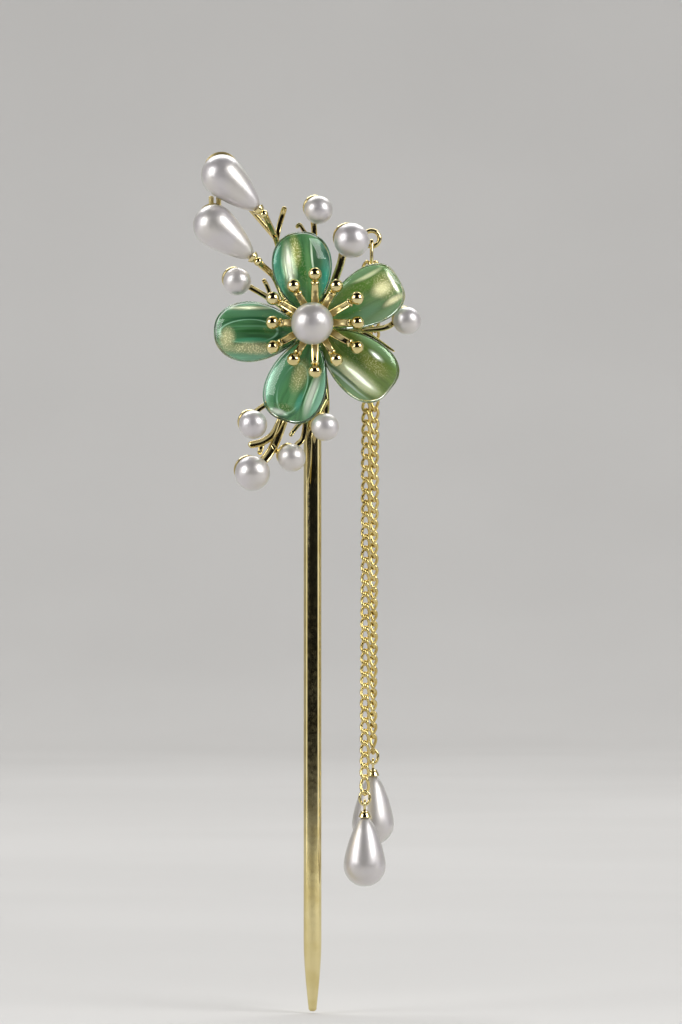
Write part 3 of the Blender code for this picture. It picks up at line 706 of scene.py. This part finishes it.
def make_strand(side, top, bottom, roll_start, roll_rate, hanging):
    """Three stretches of links, each on its own body."""
    along = (top - bottom).normalized()
    stretch = (bottom - top).length / len(STRETCHES)
    links = round(stretch / LINK_PITCH)
    pitch = stretch / links
    for step, label in enumerate(STRETCHES):
        start = top - along * (stretch * step)
        last = label == STRETCHES[-1]
        bm = bmesh.new()
        for k in range(links):
            number = step * links + k
            waver = LINK_WAVER * math.sin(number * 0.9)
            front = rolled(along, roll_start + roll_rate * number + waver)
            front = (front - along * front.dot(along)).normalized()
            longer = LAST_LINK_EXTRA if last and k == links - 1 else 0.0
            centre = start - along * (pitch * (k + 0.5)) - along * longer
            link(bm, centre, along, front, (pitch + 2.0 * LINK_WIRE) / 2.0 + longer)
        if step == 0:
            front = rolled(along, roll_start + FIRST_LINK_ROLL)
            half_length = (LINK_PITCH + 2.0 * LINK_WIRE) / 2.0
            link(bm, start + along * FIRST_LINK_RISE, along, front, half_length)
        stands_for = [f"{side}_chain_{label}"]
        made = piece(f"{side}_links_{label}", bm, CHAIN_GOLD, f"{side}_{label}", stands_for)


def drop_swell(along):
    """A pear drop's radius at a distance from its round end: half a ball, then a blunt taper."""
    if along < DROP_RADIUS:
        return math.sqrt(DROP_RADIUS**2 - (DROP_RADIUS - along) ** 2)
    taper = (along - DROP_RADIUS) / (DROP_LENGTH - DROP_RADIUS)
    blunt = math.sqrt(max(1.0 - taper**DROP_BLUNTNESS, 0.0))
    return DROP_RADIUS * (1.0 - DROP_TAPER * taper**1.5) * blunt


def drop_profile(grow=0.0, steps=40):
    """A pear drop's outline from its round end up: the tip is at height 0."""
    profile = [(0.0, -DROP_LENGTH - grow)]
    for step in range(1, steps):
        share = 0.5 - 0.5 * math.cos(math.pi * step / steps)
        radius = drop_swell(DROP_LENGTH * share) + grow
        profile.append((radius, (DROP_LENGTH + 2.0 * grow) * share - DROP_LENGTH - grow))
    return [*profile, (0.0, grow)]


def cap_profile(hole):
    """A flared cap over a drop's tip, around its hole, or with a bead on it where hole is 0."""
    flare = [(1.08, -0.2), (1.2, -0.12), (1.17, 0.05), (1.02, 0.4), (0.95, 0.6)]
    if hole:
        crown = [(0.78, 0.8), (0.84, 0.9), (0.8, CAP_HEIGHT)]
        return [(hole, CAP_HEIGHT), (hole, 0.3), (0.9, 0.1), *flare, *crown]
    bead = [(0.66, 0.78), (0.6, 0.88), (0.78, 1.05), (0.86, 1.3), (0.86, 1.55), (0.74, 1.85)]
    return [(0.0, 0.3), (0.55, 0.3), (0.9, 0.1), *flare, *bead, (0.45, 2.1), (0.0, 2.2)]


def make_pendant(side, chain_end):
    """The oval ring at a chain's end, its eye pin, the crown cap and the pear drop."""
    body = f"{side}_drop"
    ring_centre = chain_end - UPWARD * (END_RING_DROP + END_RING_WIRE + END_RING_HALF_LENGTH)
    bm = bmesh.new()
    oval_ring(bm, ring_centre, END_RING_HALF_WIDTH, END_RING_HALF_LENGTH, END_RING_WIRE, False)
    ring = piece(f"{side}_oval_ring", bm, GOLD, f"{side}_lower", [f"{side}_end_ring"])
    overlap = END_RING_WIRE + EYE_SLACK + EYE_WIRE
    eye_centre = ring_centre - UPWARD * (END_RING_HALF_LENGTH + EYE_RADIUS - overlap)
    tip = eye_centre - UPWARD * (EYE_RADIUS + EYE_WIRE + CAP_HEIGHT)
    bm = bmesh.new()
    oval_ring(bm, eye_centre, EYE_RADIUS, EYE_RADIUS, EYE_WIRE, True)
    wire(bm, [eye_centre - UPWARD * EYE_RADIUS, tip - UPWARD * SHANK_LENGTH], SHANK_RADIUS)
    pin = piece(f"{side}_looped_pin", bm, GOLD, body, [f"{side}_eye_pin"])
    place = Matrix.Translation(tip)
    bm = bmesh.new()
    lathe(bm, cap_profile(SHANK_RADIUS), place)
    cap = piece(f"{side}_crown_cap", bm, GOLD, body, [f"{side}_drop_cap"])
    bm = bmesh.new()
    lathe(bm, drop_profile(), place, DROP_SIDES)
    stands_for = [f"{side}_hanging_drop"]
    drop = piece(f"{side}_pear_pearl", bm, PEARL, body, stands_for, DROP_SHARP_ANGLE)
    return [ring, pin, cap, drop]


def make_chains():
    """The ring on the hook ring, and the two strands with what hangs from them."""
    bm = bmesh.new()
    sizes = (TOP_RING_HALF_WIDTH, TOP_RING_HALF_LENGTH, TOP_RING_WIRE)
    oval_ring(bm, TOP_RING_CENTRE, *sizes, True)
    piece("hanging_ring", bm, GOLD, "jump_ring", ["top_jump_ring"])
    for side, (top, bottom, roll_start, roll_rate) in STRANDS.items():
        make_strand(side, top, bottom, roll_start, roll_rate, make_pendant(side, bottom))


# ---------------------------------------------------------------- the shaft and the flower


def make_shaft():
    """The round pin: a rounded tip, a taper and a domed top."""
    profile = [(0.0, SHAFT_TIP_Z), (0.45, SHAFT_TIP_Z), (SHAFT_TIP_RADIUS, SHAFT_TIP_Z + 0.4)]
    steps = 12
    for step in range(steps + 1):
        share = step / steps
        swell = math.sin(share * math.pi / 2.0)
        radius = SHAFT_TIP_RADIUS + (SHAFT_RADIUS - SHAFT_TIP_RADIUS) * swell
        rise = SHAFT_TIP_ROUNDING + (SHAFT_TAPER - SHAFT_TIP_ROUNDING) * share
        profile.append((radius, SHAFT_TIP_Z + rise))
    profile += arc(SHAFT_RADIUS, math.pi / 2.0, math.pi, 10, SHAFT_TOP_Z - SHAFT_RADIUS)[:-1]
    profile.append((0.0, SHAFT_TOP_Z))
    bm = bmesh.new()
    lathe(bm, profile, Matrix(), SHAFT_SIDES)
    piece("round_shaft", bm, GOLD, stands_for=["pin_shaft"])


def petal_frame(direction, shift):
    """The flower's centre with a petal's own turn and shift: the petal runs along +X."""
    turn = Matrix.Rotation(-math.radians(direction), 4, "Y")
    centre = Matrix.Translation((0.0, PETAL_Y, FLOWER_Z))
    return centre @ turn @ Matrix.Translation((0.0, 0.0, shift))


def add_petal_shape(bm, root, tip, half_width, half_thickness, power, fullness):
    """An egg outline with a lens section along +X.

    Returns each vertex's place along and across the petal.
    """
    marks = {}
    loops = []
    for step in range(PETAL_RINGS + 1):
        share = 0.5 - 0.5 * math.cos(math.pi * step / PETAL_RINGS)
        along = root + (tip - root) * share
        if step in (0, PETAL_RINGS):
            loops.append([bm.verts.new((along, 0.0, 0.0))])
            marks[loops[-1][0]] = (share, 0.0)
            continue
        swell = math.sin(math.pi * share**power) ** fullness
        loop = []
        for turn in turns_around(PETAL_SIDES):
            depth = half_thickness * swell * math.sin(turn)
            aside = half_width * swell * math.cos(turn)
            loop.append(bm.verts.new((along, depth, aside)))
            marks[loop[-1]] = (share, math.cos(turn) * swell)
        loops.append(loop)
    join_loops(bm, loops, PETAL_SIDES)
    return marks


def make_petal(name, direction, shift, root, tip, half_width, power, fullness):
    """The clear glass, and inside it the painted core that its lens enlarges."""
    label = name.removeprefix("petal_")
    twist = Matrix.Rotation(math.radians(PETAL_TWIST), 4, "X")
    place = petal_frame(direction, shift) @ twist
    bm = bmesh.new()
    add_petal_shape(bm, root, tip, half_width, PETAL_HALF_THICKNESS, power, fullness)
    bm.transform(place)
    piece(f"glass_{label}", bm, GLASS, stands_for=[name], sharp_angle=ALL_SMOOTH)
    bm = bmesh.new()
    spare = (tip - root) * (1.0 - CORE_LENGTH) / 2.0
    width = half_width * CORE_WIDTH
    thickness = PETAL_HALF_THICKNESS * CORE_THICKNESS
    marks = add_petal_shape(bm, root + spare, tip - spare, width, thickness, power, fullness)
    uv = bm.loops.layers.uv.new("petal")
    for face in bm.faces:
        for corner in face.loops:
            corner[uv].uv = marks[corner.vert]
    bm.transform(place @ Matrix.Translation((0.0, CORE_SET_BACK, 0.0)))
    paint = petal_material(f"paint_and_highlights_{name}", *PETAL_PAINT[name], PETAL_FOLDS.get(name))
    piece(f"paint_and_highlights_{label}", bm, paint, sharp_angle=ALL_SMOOTH)


def make_stamens():
    """The hub, and around it the grooved strips with their collars and balls."""
    bm = bmesh.new()
    half = HUB_THICKNESS / 2.0
    rim = HUB_RADIUS - 0.1
    hub = [(HUB_HOLE, -half), (rim, -half), (HUB_RADIUS, 0.0), (rim, half), (HUB_HOLE, half)]
    centre = on_flower(*STAMEN_SHIFT, STAMEN_ROOT_Y)
    lathe(bm, [*hub, hub[0]], facing_matrix(centre, TOWARD_VIEWER))
    for step, angle in enumerate(turns_around(STAMENS)):
        reach = STAMEN_LONG if step % 2 else STAMEN_SHORT
        outwards = Vector((math.cos(angle), 0.0, math.sin(angle)))
        root = centre + outwards * STAMEN_ROOT
        rise = Vector((0.0, STAMEN_TIP_Y - STAMEN_ROOT_Y, 0.0))
        tip = centre + outwards * reach + rise
        along = (tip - root).normalized()
        collar = tip - along * (STAMEN_BALL + STAMEN_COLLAR_GAP)
        bow = (root + collar) / 2.0 + TOWARD_VIEWER * STAMEN_BOW
        path = curve_through([root, bow, collar], 10)
        outlines = []
        for k in range(len(path)):
            width = STAMEN_WIDTH * (1.0 - STAMEN_NARROWING * k / (len(path) - 1))
            outlines.append(channel_outline(width / 2.0, 0.72, 0.75))
        sweep(bm, path, lambda index: outlines[index])
        lathe(bm, STAMEN_COLLAR, facing_matrix(collar, along), COLLAR_SIDES)
        ball(bm, tip, STAMEN_BALL)
    piece("stamens", bm, GOLD, stands_for=["stamen_star"])


# ---------------------------------------------------------------- pearls, cups and branches


def pearl_centre(x, z, radius, back_y=STEM_Y):
    """The centre of a pearl whose boss lies at the depth of the stems."""
    reach = radius + CUP_GAP + CUP_WALL + BOSS_JOIN
    return on_flower(x, z, back_y + CUP_FACING.y * reach)


PEARLS = {
    "top": (2.7, pearl_centre(1.15, 21.6, 2.7)),
    "upper_right": (3.35, pearl_centre(7.4, 15.8, 3.35)),
    "left": (2.65, pearl_centre(-14.2, 8.1, 2.65)),
    "right": (2.65, pearl_centre(17.9, 0.7, 2.65, back_y=-1.3)),
    "lower_left_inner": (2.7, pearl_centre(-11.2, -18.9, 2.7)),
    "bottom_right": (2.65, pearl_centre(2.4, -19.4, 2.65)),
    "bottom": (2.65, pearl_centre(-3.9, -25.2, 2.65)),
    "lower_left_outer": (3.35, pearl_centre(-11.3, -28.1, 3.35)),
}

# Each branch's strips, after the cups that they carry. A strip is its points around the flower's
# centre, its half width, the share of that width left at its end, whether it has a groove, and
# the cup whose boss it runs on to. Each branch starts inside the plate's rim.
BRANCHES = {
    "top": [
        ([(0.2, 6.2), (0.4, 16.0)], STEM_RADIUS, 1.0, True, "top"),
        ([(0.4, 15.0), (-1.4, 17.4), (-2.4, 18.9), (-3.1, 18.3)], 0.38, 1.0, True, None),
    ],
    "upper_right": [
        ([(3.1, 5.6), (4.5, 9.2), (5.6, 12.8)], 0.75, 1.0, True, "upper_right"),
    ],
    "left": [
        ([(-5.3, 3.1), (-8.2, 5.0), (-11.6, 7.0)], STEM_RADIUS, 1.0, True, "left"),
        ([(-7.8, 4.8), (-8.4, 6.9), (-9.3, 8.7)], 0.42, 1.0, True, None),
    ],
    "right": [
        ([(6.1, -1.2), (11.0, -0.9), (14.4, -0.3)], STEM_RADIUS, 1.0, True, "right"),
        ([(8.6, -1.2), (11.0, -2.1), (15.6, -5.1)], 0.5, 0.35, True, None),
    ],
    "lower_left": [
        ([(-2.2, -5.8), (-5.6, -18.5), (-8.8, -25.2)], 0.85, 1.0, True, "lower_left_outer"),
        ([(-4.6, -14.4), (-8.6, -15.0)], 0.5, 1.0, True, "lower_left_inner"),
        ([(-5.4, -16.6), (-6.3, -18.7), (-7.5, -20.8), (-9.3, -22.1), (-11.1, -22.6),
          (-12.2, -22.7)], 0.74, 0.9, False, None),
        ([(-9.2, -21.6), (-10.1, -24.6)], 0.5, 1.0, True, None),
        ([(-7.6, -22.6), (-6.4, -24.4)], 0.42, 1.0, True, None),
    ],
    "bottom": [
        ([(-0.7, -6.1), (-1.4, -19.6), (-2.8, -22.6)], STEM_RADIUS, 1.0, True, "bottom"),
        ([(-1.3, -17.6), (-2.9, -19.2), (-4.3, -21.1)], 0.42, 1.0, True, None),
    ],
    "bottom_right": [
        ([(1.7, -6.0), (2.5, -11.5), (2.6, -16.4)], STEM_RADIUS, 1.0, True, "bottom_right"),
        ([(2.4, -14.0), (0.7, -17.6), (-0.5, -20.6), (-0.6, -22.8), (-0.6, -25.6),
          (-1.0, -30.0)], 0.8, 0.2, False, None),
    ],
}
HOOK_WIRE = 0.4
HOOK_POINTS = (on_flower(8.2, 15.9, -0.6), on_flower(9.8, 16.0, 2.0))


def make_pearl(name, centre, radius, node_name):
    """A round pearl, a little uneven."""
    bm = bmesh.new()
    ball(bm, centre, radius, PEARL_SIDES, PEARL_RINGS)
    for vert in bm.verts:
        bulge = PEARL_UNEVENNESS * (noise.noise(vert.co * 0.6) - 0.5)
        vert.co += (vert.co - centre).normalized() * bulge
    piece(name, bm, PEARL, stands_for=[node_name], sharp_angle=ALL_SMOOTH)


def add_cup(bm, name):
    """The shallow cup behind a pearl, with its boss. Returns where a stem meets the boss."""
    radius, centre = PEARLS[name]
    inner = radius + CUP_GAP
    outer = inner + CUP_WALL
    middle = 0.5 * (inner + outer)
    wrap = math.radians(CUP_WRAP)
    lip = wrap + 0.04
    base = -outer - BOSS_LENGTH
    profile = [(0.0, base), (BOSS_RADIUS - 0.2, base), (BOSS_RADIUS, base + 0.25)]
    profile += arc(outer, math.asin((BOSS_RADIUS + 0.15) / outer), wrap, 10)
    profile.append((middle * math.sin(lip), -middle * math.cos(lip)))
    profile += arc(inner, wrap, 0.0, 10)[:-1]
    profile.append((0.0, -inner))
    lathe(bm, profile, facing_matrix(centre, CUP_FACING), CUP_SIDES)
    return centre - CUP_FACING * (outer + BOSS_JOIN)


def make_branches():
    """The cast branches with their cups and twigs, and the hook ring that the chains hang from."""
    for name, strips in BRANCHES.items():
        bm = bmesh.new()
        bosses = {cup: add_cup(bm, cup) for *_, cup in strips if cup}
        for points, half, end_share, grooved, cup in strips:
            ends = [bosses[cup]] if cup else []
            strip(bm, [on_flower(x, z) for x, z in points] + ends, half, end_share, grooved)
        if name == "upper_right":
            wire(bm, [bosses[name], *HOOK_POINTS], HOOK_WIRE)
            oval_ring(bm, EYELET, EYELET_RADIUS, EYELET_RADIUS, EYELET_WIRE, False)
        piece(f"stem_{name}", bm, GOLD, stands_for=[f"branch_{name}"])


def shell_half(bm, grow, place, plane_point, plane_normal):
    """A pear-shaped skin cut away in front of the plane. Returns its edge at the cut."""
    skin = bmesh.new()
    lathe(skin, drop_profile(grow, steps=28), place)
    everything = [*skin.verts, *skin.edges, *skin.faces]
    bmesh.ops.bisect_plane(
        skin, geom=everything, plane_co=plane_point, plane_no=plane_normal, clear_outer=True)
    helper = bpy.data.meshes.new("skin")
    skin.to_mesh(helper)
    skin.free()
    known = set(bm.edges)
    bm.from_mesh(helper)
    bpy.data.meshes.remove(helper)
    return [edge for edge in bm.edges if edge not in known and edge.is_boundary]


def make_fixed_drop(label, tip, away, tray_depth, stem_points, twigs=(), prongs=()):
    """A pear drop in its tray, with the claw cap and bead at its tip and its stem."""
    place = facing_matrix(tip, away)
    bm = bmesh.new()
    lathe(bm, drop_profile(), place, DROP_SIDES)
    piece(f"pear_{label}", bm, PEARL, "pin", [f"drop_{label}"], DROP_SHARP_ANGLE)
    bm = bmesh.new()
    middle = tip - away * (DROP_LENGTH - DROP_RADIUS)
    cut = (middle - TRAY_FACING * tray_depth, TRAY_FACING)
    edges = shell_half(bm, TRAY_OUTER, place, *cut) + shell_half(bm, TRAY_INNER, place, *cut)
    bmesh.ops.bridge_loops(bm, edges=edges)
    lathe(bm, cap_profile(0.0), place)
    strip(bm, [tip + away * TRAY_STEM_START, *stem_points])
    behind = middle - TOWARD_VIEWER * (DROP_RADIUS + TRAY_OUTER + 0.2)
    wire(bm, [behind, stem_points[0]], TRAY_STEM_RADIUS)
    for twig in twigs:
        strip(bm, twig, TRAY_TWIG_RADIUS)
    for prong in prongs:
        wire(bm, prong, PRONG_WIRE)
    piece(f"tray_{label}", bm, GOLD, stands_for=[f"setting_{label}"])


def make_fixed_drops():
    """The two pear drops at the upper left: one with a twig, and one that two prongs reach over."""
    stem = [on_flower(-7.0, 16.4, -3.3), on_flower(-6.0, 13.4)]
    stem += [on_flower(-3.5, 6.9), on_flower(-2.8, 5.6)]
    twig = [on_flower(-6.9, 15.9, -3.1), on_flower(-6.2, 19.0), on_flower(-5.2, 22.4)]
    tip = on_flower(-10.2, 21.7, DROP_Y)
    away = Vector((0.73, 0.0, -0.68)).normalized()
    make_fixed_drop("upper", tip, away, 3.5, stem, twigs=[twig])

    stem = [on_flower(-7.4, 9.2, -3.3), on_flower(-5.6, 5.4), on_flower(-4.4, 4.4)]
    tip = on_flower(-11.3, 12.7, DROP_Y)
    away = Vector((0.774, 0.0, -0.633)).normalized()
    middle = on_flower(-18.5, 18.6, DROP_Y)
    prongs = []
    for x in (-0.6, 0.8):
        prong = []
        for turn in (0.7, 1.1):
            out = Vector((x, PRONG_RADIUS * math.cos(turn), PRONG_RADIUS * math.sin(turn)))
            prong.append(middle + out)
        prongs.append([*prong, middle + Vector((x, 1.3, 5.4))])
    make_fixed_drop("lower", tip, away, 3.8, stem, prongs=prongs)


def make_plate():
    """The scalloped plate behind the glass, and the post and pegs that hold the glass."""
    bm = bmesh.new()
    bevel, inset = 0.25, 0.3
    rims = ((inset, PLATE_BACK_Y), (0.0, PLATE_BACK_Y - bevel))
    rims += ((0.0, PLATE_FRONT_Y + bevel), (inset, PLATE_FRONT_Y))
    loops = []
    for inwards, y in rims:
        loop = []
        for turn in turns_around(PLATE_SIDES):
            scallop = math.cos(PLATE_SCALLOPS * (turn - math.radians(PLATE_TURN)))
            radius = PLATE_RADIUS - inwards + PLATE_SCALLOP * scallop
            out, up = radius * math.cos(turn), radius * math.sin(turn)
            loop.append(bm.verts.new((out, y, FLOWER_Z + up)))
        loops.append(loop)
    join_loops(bm, loops, PLATE_SIDES)
    bm.faces.new(loops[0])
    bm.faces.new(loops[-1])
    inside_y = PLATE_FRONT_Y + 0.5
    post = [on_flower(*STAMEN_SHIFT, inside_y), on_flower(*STAMEN_SHIFT, POST_END_Y)]
    wire(bm, post, POST_RADIUS, UPWARD)
    for direction, shift, *_ in PETALS.values():
        foot = petal_frame(direction, shift) @ Vector((PEG_REACH, 0.0, 0.0))
        peg = [Vector((foot.x, y, foot.z)) for y in (inside_y, PETAL_Y + 0.8)]
        wire(bm, peg, PEG_RADIUS, UPWARD)
    piece("scalloped_plate", bm, GOLD, stands_for=["flower_backplate"])


def make_pin():
    """Everything on the body that stays still."""
    make_shaft()
    make_plate()
    for name, shape in PETALS.items():
        make_petal(name, *shape)
    make_stamens()
    middle = on_flower(0.0, 0.0, CENTRE_PEARL_Y)
    make_pearl("pearl_middle", middle, CENTRE_PEARL_RADIUS, "pearl_centre")
    for name, (radius, centre) in PEARLS.items():
        make_pearl(f"round_pearl_{name}", centre, radius, f"pearl_{name}")
    make_branches()
    make_fixed_drops()


# ---------------------------------------------------------------- studio


def look_from(direction, distance, target):
    """A matrix at this distance from the target, looking at it."""
    place = target + direction.normalized() * distance
    turn = (place - target).to_track_quat("Z", "Y").to_matrix().to_4x4()
    return Matrix.Translation(place * MM) @ turn


def add_camera():
    """The camera, straight in front as in the photograph."""
    data = bpy.data.cameras.new("camera")
    data.sensor_fit = "VERTICAL"
    data.sensor_height = SENSOR_HEIGHT
    data.lens = SENSOR_HEIGHT * CAMERA_DISTANCE / VIEW_HEIGHT
    data.clip_end = 20.0
    camera = placed("camera", data)
    camera.matrix_world = look_from(TOWARD_VIEWER, CAMERA_DISTANCE, VIEW_MIDDLE)
    bpy.context.scene.camera = camera


def add_softbox(name, direction, distance, width, height, power, target):
    """A rectangular lamp that faces its target."""
    data = bpy.data.lights.new(name, "AREA")
    data.shape = "RECTANGLE"
    data.size = width * MM
    data.size_y = height * MM
    data.energy = power
    placed(name, data).matrix_world = look_from(Vector(direction), distance, target)


def sweep_material():
    """The matt pale paper of the floor and the wall."""
    made, tree, shader = new_material("sweep")
    tone = mapped(tree, object_noise(tree, 6.0), 0.3, 0.7)
    colour = blended(tree, tone, (0.60, 0.59, 0.575), (0.63, 0.62, 0.605))
    set_shader(tree, shader, Base_Color=colour, Roughness=0.9, Specular_IOR_Level=0.2)
    return made


def add_sweep():
    """A round pale floor that runs up into a wall at the back and sides."""
    bm = bmesh.new()
    floor = [(0.0, FLOOR_Z), (0.5 * FLOOR_RADIUS, FLOOR_Z), (FLOOR_RADIUS, FLOOR_Z)]
    lathe(bm, floor, Matrix(), FLOOR_SIDES)
    profile = [(FLOOR_RADIUS, FLOOR_Z)]
    for step in range(1, WALL_BEND_STEPS + 1):
        angle = math.pi / 2.0 * step / WALL_BEND_STEPS
        out = FLOOR_RADIUS + WALL_BEND * math.sin(angle)
        profile.append((out, FLOOR_Z + WALL_BEND * (1.0 - math.cos(angle))))
    profile.append((FLOOR_RADIUS + WALL_BEND, WALL_HEIGHT))
    turns = [math.tau * k / FLOOR_SIDES for k in WALL_SIDES]
    rows = []
    for out, up in profile:
        places = [(out * math.cos(turn), out * math.sin(turn), up) for turn in turns]
        rows.append([bm.verts.new(place) for place in places])
    for low, high in zip(rows, rows[1:]):
        for k in range(len(turns) - 1):
            bm.faces.new((low[k], low[k + 1], high[k + 1], high[k]))
    bmesh.ops.remove_doubles(bm, verts=bm.verts, dist=0.1)
    sweep_object = placed("sweep", finished_mesh("sweep", bm, sweep_material()))


def add_room():
    """A dim room for reflections, which shows a pale tone to the camera only."""
    world = bpy.data.worlds.new("room")
    world.use_nodes = True
    tree = world.node_tree
    dim = tree.nodes["Background"]
    dim.inputs["Color"].default_value = (0.5, 0.5, 0.52, 1.0)
    dim.inputs["Strength"].default_value = 0.02
    pale = node(tree, "ShaderNodeBackground", {"Color": (0.55, 0.54, 0.525, 1.0)}).outputs[0]
    seen = node(tree, "ShaderNodeLightPath").outputs["Is Camera Ray"]
    mix_output(tree, seen, dim.outputs[0], pale, "World Output", "Surface")
    bpy.context.scene.world = world
    bpy.context.scene.view_settings.view_transform = "Standard"


add_camera()
make_chains()
make_pin()
add_sweep()
for name, settings in SOFTBOXES.items():
    add_softbox(name, *settings)
add_room()
